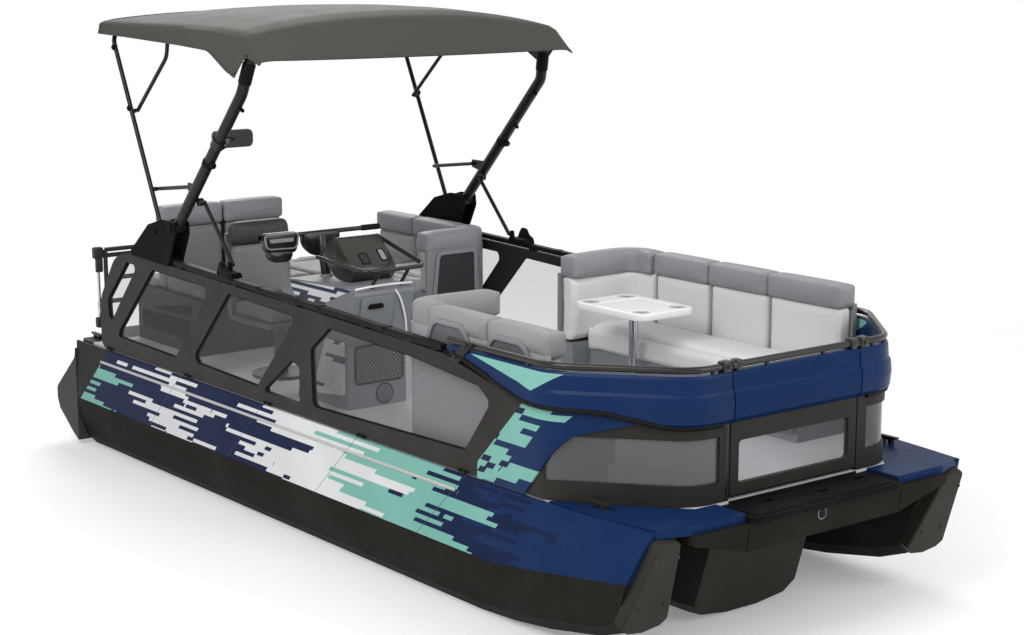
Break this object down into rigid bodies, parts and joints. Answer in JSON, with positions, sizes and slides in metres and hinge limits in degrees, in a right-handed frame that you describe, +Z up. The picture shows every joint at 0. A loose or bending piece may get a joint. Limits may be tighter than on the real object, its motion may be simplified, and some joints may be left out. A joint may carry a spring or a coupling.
{
  "type": "pontoon boat",
  "caption": "Open triple-hull pontoon deck boat with fenced cockpit, lounge seats, steering console, bow gate, folding sun top, boarding ladder and a steerable jet outlet.",
  "frame": {"origin": "on the ground plane under the middle of the boat, half way along its length and beam", "axes": "+X to the bow, +Y to port, +Z up from the keels"},
  "size_m": [6.45, 2.44, 3.15],
  "materials": {
    "hull_bottom": "satin bronze-black with fine metallic grain",
    "topside_paint": "satin bronze-black with a printed band of streaks",
    "black_moulding": "grained black",
    "gloss_black": "polished bronze-black",
    "frame_black": "fine texture powder coat",
    "tube_black": "satin black",
    "deck_grey": "moulded light grey with a non-slip pattern",
    "blue_moulding": "gloss blue with printed streaks",
    "quarter_paint": "gloss blue with printed streaks",
    "tinted_glass": "smoke tint",
    "canopy_fabric": "charcoal woven cloth",
    "upholstery": "grey marine vinyl with seams",
    "seat_plastic": "dark grey moulded shell",
    "console_plastic": "grey moulded shell with printed panels",
    "dash_black": "soft black",
    "grip_rubber": "ribbed",
    "table_white": "white moulded",
    "bright_metal": "polished",
    "cast_alloy": "machined casting",
    "raw_alloy": "mill finish"
  },
  "bodies": {
    "boat": {"hull_starboard": "hull_bottom", "hull_port": "hull_bottom", "topside_starboard": "topside_paint", "topside_port": "topside_paint", "nose_plates": "gloss_black", "stern_caps": "black_moulding", "hull_center": "black_moulding", "deck": "deck_grey", "swim_platform": "black_moulding", "cross_beams": "raw_alloy", "bow_deck": "black_moulding", "bow_beam": "frame_black", "bow_corners": "gloss_black", "fence_starboard": "frame_black", "fence_port": "frame_black", "side_windows_starboard": "tinted_glass", "side_windows_port": "tinted_glass", "side_rails": "tube_black", "bow_frame_starboard": "gloss_black", "bow_frame_port": "gloss_black", "bow_windows": "tinted_glass", "quarter_panels": "quarter_paint", "bow_mouldings": "blue_moulding", "bow_rails": "tube_black", "gate_posts": "frame_black", "gussets": "frame_black", "brace_feet": "frame_black", "bow_lounge_base": "seat_plastic", "bow_lounge_cushions": "upholstery", "bow_seat_base": "seat_plastic", "bow_seat_cushions": "upholstery", "aft_lounge_base": "seat_plastic", "aft_lounge_cushions": "upholstery", "stern_bench_base": "seat_plastic", "stern_bench_cushions": "upholstery", "table_top": "table_white", "table_post": "bright_metal", "console": "console_plastic", "dash_hood": "dash_black", "console_rail": "tube_black", "helm_post": "bright_metal", "jet_pump": "cast_alloy", "cleats": "tube_black"},
    "gate": {"gate_frame": "gloss_black", "gate_window": "tinted_glass", "gate_moulding": "blue_moulding", "gate_rail": "tube_black"},
    "sun_top_main": {"main_hoop": "tube_black", "canopy": "canopy_fabric", "mirror": "dash_black"},
    "sun_top_rear": {"rear_hoop": "tube_black"},
    "sun_top_middle": {"middle_hoop": "tube_black"},
    "sun_top_front_brace": {"front_braces": "tube_black"},
    "sun_top_rear_brace": {"rear_braces": "tube_black"},
    "steering_bar": {"handlebar": "grip_rubber"},
    "steering_nozzle": {"jet_nozzle": "cast_alloy"},
    "helm_chair": {"helm_seat": "seat_plastic", "helm_cushions": "upholstery"},
    "boarding_ladder": {"ladder": "bright_metal"}
  },
  "joints": [
    {"name": "gate_hinge", "type": "hinge", "parent": "boat", "child": "gate", "pos_m": [2.898, 0.4597, 0.95], "axis": [0, 0, -1], "range_deg": [0, 90]},
    {"name": "sun_top_fold", "type": "hinge", "parent": "boat", "child": "sun_top_main", "pos_m": [-1.43, 0, 1.735], "axis": [0, -1, 0], "range_deg": [0, 109], "deforming": ["canopy"]},
    {"name": "rear_hoop_fold", "type": "hinge", "parent": "boat", "child": "sun_top_rear", "pos_m": [-1.64, 0, 1.69], "axis": [0, -1, 0], "range_deg": [0, 48.05]},
    {"name": "middle_hoop_fold", "type": "hinge", "parent": "sun_top_rear", "child": "sun_top_middle", "pos_m": [-2.005, 0, 2.452], "axis": [0, -1, 0], "range_deg": [0, 64.05]},
    {"name": "front_brace_fold", "type": "hinge", "parent": "sun_top_main", "child": "sun_top_front_brace", "pos_m": [-1.18, 0, 1.925], "axis": [0, -1, 0], "range_deg": [0, 60.05]},
    {"name": "rear_brace_fold", "type": "hinge", "parent": "sun_top_rear", "child": "sun_top_rear_brace", "pos_m": [-1.752, 0, 1.955], "axis": [0, -1, 0], "range_deg": [0, 95.05]},
    {"name": "steering", "type": "hinge", "parent": "boat", "child": "steering_bar", "pos_m": [-0.4, -0.69, 1.516], "axis": [-0.2077, 0, 0.9782], "range_deg": [-28, 28]},
    {"name": "nozzle_steer", "type": "hinge", "parent": "boat", "child": "steering_nozzle", "pos_m": [-3.04, 0, 0.25], "axis": [0, 0, 1], "range_deg": [-20.05, 20.05]},
    {"name": "helm_swivel", "type": "hinge", "parent": "boat", "child": "helm_chair", "pos_m": [-0.975, -0.68, 1.13], "axis": [0, 0, 1], "range_deg": [-90, 90]},
    {"name": "ladder_fold", "type": "hinge", "parent": "boat", "child": "boarding_ladder", "pos_m": [-3.115, -0.7, 0.81], "axis": [0, -1, 0], "range_deg": [0, 178]}
  ],
  "couplings": [
    {"joint": "rear_hoop_fold", "follows": "sun_top_fold", "ratio": 0.44037},
    {"joint": "middle_hoop_fold", "follows": "sun_top_fold", "ratio": 0.58716},
    {"joint": "front_brace_fold", "follows": "sun_top_fold", "ratio": 0.55046},
    {"joint": "rear_brace_fold", "follows": "sun_top_fold", "ratio": 0.87156},
    {"joint": "nozzle_steer", "follows": "steering", "ratio": 0.71429}
  ]
}
